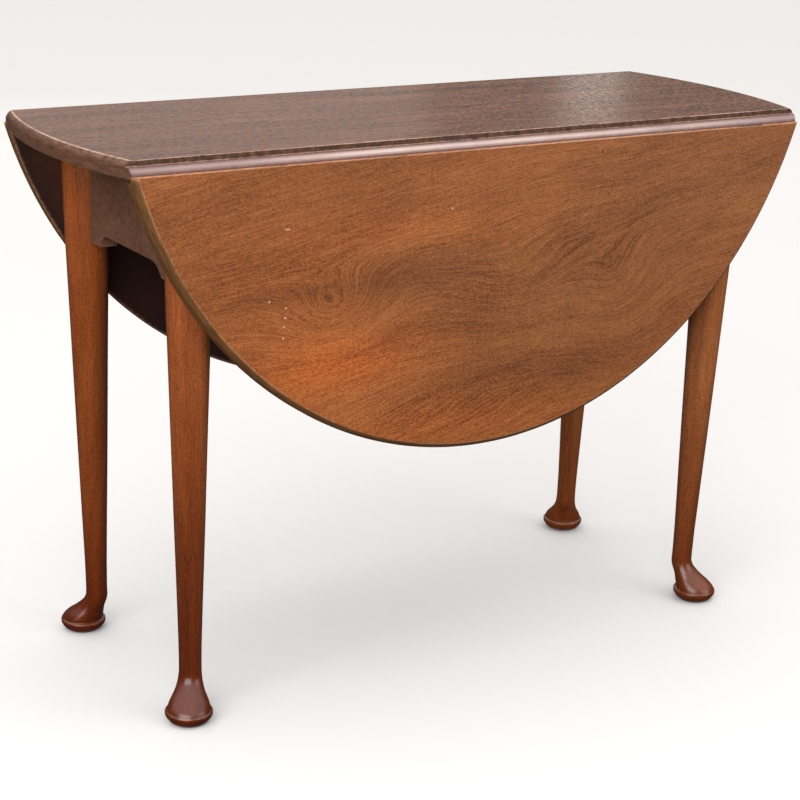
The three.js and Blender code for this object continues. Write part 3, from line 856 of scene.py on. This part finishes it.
# ---------- pieces that keep their CAD shape, with eased and worn edges ----------
def eased(node, material, size):
    """A copy of a CAD node with its sharp edges eased, and the eased edges marked as worn."""
    work = bmesh.new()
    work.from_mesh(frame["nodes"][node].data)
    bmesh.ops.remove_doubles(work, verts=work.verts, dist=0.02 * MM)
    bmesh.ops.dissolve_limit(work, angle_limit=math.radians(1), verts=work.verts, edges=work.edges)
    sharp = [edge for edge in work.edges
             if len(edge.link_faces) == 2 and edge.calc_face_angle() > math.radians(32)]
    made = bmesh.ops.bevel(work, geom=sharp, offset=size, offset_type="OFFSET", segments=2,
                           profile=0.6, affect="EDGES", clamp_overlap=True)
    layer = work.verts.layers.float.new("wear")
    for face in made["faces"]:
        for vertex in face.verts:
            vertex[layer] = 0.8
    mesh = bpy.data.meshes.new(f"{node}_eased")
    work.to_mesh(mesh)
    work.free()
    finish_piece(f"{node}_eased", mesh, material, BODY_OF[node], node)


def frame_pieces():
    for node in ("left_apron", "right_apron"):
        eased(node, APRON_WOOD, 1.0 * MM)
    for side in SIDES:
        for rail in ("outer_rail", "gate_rail"):
            eased(f"{side}_{rail}", RAIL_WOOD, 0.7 * MM)
        eased(f"{side}_inner_rail", INNER_WOOD, 0.8 * MM)
        for end in ("left", "right"):
            eased(f"{side}_corner_block_{end}", BLOCK_WOOD, 1.2 * MM)


def small_pieces():
    """Pegs, hinge plates, pins and screws."""
    for node in BODY_OF:
        if "_peg" in node:
            eased(node, LEG_WOODS["front_left_leg"], 0.4 * MM)
        elif node.endswith("_plate"):
            eased(node, HINGE_IRON, 0.25 * MM)
        elif node.endswith("knuckle_pin"):
            eased(node, HINGE_IRON, 0.3 * MM)
        elif "_screw" in node or node.endswith("_pin"):
            eased(node, SCREW_STEEL, 0.12 * MM)


# ---------- floor, light and camera ----------
FLOOR_HALF = 40.0


def floor():
    """A white floor. It gives no light back to the table, whose underparts stay dark."""
    corners = [(x * FLOOR_HALF, y * FLOOR_HALF, 0) for x, y in ((-1, -1), (1, -1), (1, 1), (-1, 1))]
    mesh = bpy.data.meshes.new("floor")
    mesh.from_pydata(corners, [], [(0, 1, 2, 3)])
    plane = bpy.data.objects.new("floor", mesh)
    bpy.context.scene.collection.objects.link(plane)
    white = Graph("floor_white").surface(Base_Color=(0.86, 0.86, 0.855, 1), Roughness=0.8)
    mesh.materials.append(white)
    plane.visible_glossy = False
    plane.visible_diffuse = False


def softbox(name, place, target, width, height, power, colour=(1, 1, 1)):
    light = bpy.data.lights.new(name, "AREA")
    light.shape = "RECTANGLE"
    light.size = width
    light.size_y = height
    light.energy = power
    light.color = colour
    lamp = bpy.data.objects.new(name, light)
    lamp.location = place
    lamp.rotation_euler = (Vector(target) - Vector(place)).to_track_quat("-Z", "Y").to_euler()
    lamp.visible_camera = False
    bpy.context.scene.collection.objects.link(lamp)


def softboxes():
    """A large key on the left, a fill on the right, and three low ones behind, which the top
    reflects: a broad one, and two narrow ones toward its right end."""
    middle = (0, 0, 0.5)
    warm = (1.0, 0.93, 0.85)
    softbox("key", (-3.0, -2.4, 1.8), middle, 3.8, 2.8, 130)
    softbox("fill", (2.4, -3.3, 1.6), middle, 2.8, 2.4, 37)
    softbox("back", (1.2, 4.0, 1.5), (0, 0, 0.7), 2.6, 1.2, 6.4, (1.0, 0.9, 0.82))
    softbox("strip", (2.83, 3.2, 1.4), (0.3, 0, 0.72), 0.2, 1.0, 1.0, warm)
    softbox("far", (3.6, 2.7, 1.3), (0.4, 0, 0.72), 0.4, 0.8, 0.7, warm)


def world():
    """A soft dome: dark up to well above the horizon, bright overhead."""
    made = bpy.data.worlds.new("studio")
    made.use_nodes = True
    tree = made.node_tree
    coords = tree.nodes.new("ShaderNodeTexCoord")
    split = tree.nodes.new("ShaderNodeSeparateXYZ")
    ramp = tree.nodes.new("ShaderNodeValToRGB")
    background = tree.nodes["Background"]
    levels = ((0.0, 0.02), (0.03, 0.03), (0.3, 0.035), (0.6, 0.42), (1.0, 0.66))
    while len(ramp.color_ramp.elements) < len(levels):
        ramp.color_ramp.elements.new(0.5)
    for element, (place, level) in zip(ramp.color_ramp.elements, levels):
        element.position = place
        element.color = (level, 0.97 * level, 0.95 * level, 1)
    tree.links.new(coords.outputs["Generated"], split.inputs[0])
    tree.links.new(split.outputs["Z"], ramp.inputs[0])
    tree.links.new(ramp.outputs[0], background.inputs["Color"])
    background.inputs["Strength"].default_value = 2.4
    bpy.context.scene.world = made


def camera():
    """The photograph's view, from the front left and above, rolled a little."""
    data = bpy.data.cameras.new("camera")
    data.lens = 89.96
    data.sensor_width = 36.0
    cam = bpy.data.objects.new("camera", data)
    place = (-1.45034, -2.18805, 1.16097)
    yaw, pitch, roll = 0.5820, -0.3112, 0.0394
    forward = Vector((math.sin(yaw) * math.cos(pitch), math.cos(yaw) * math.cos(pitch),
                      math.sin(pitch)))
    right = Vector((math.cos(yaw), -math.sin(yaw), 0))
    up = right.cross(forward)
    tilted_right = right * math.cos(roll) + up * math.sin(roll)
    tilted_up = up * math.cos(roll) - right * math.sin(roll)
    turn = Matrix((tilted_right, tilted_up, -forward)).transposed().to_4x4()
    cam.matrix_world = Matrix.Translation(place) @ turn
    bpy.context.scene.collection.objects.link(cam)
    bpy.context.scene.camera = cam


# ---------- the table and its stage ----------
top_board()
for side in SIDES:
    leaf_board(side)
for leg_place in LEGS:
    leg(*leg_place)
frame_pieces()
small_pieces()

bpy.context.scene.view_settings.view_transform = "Standard"
floor()
world()
camera()
softboxes()
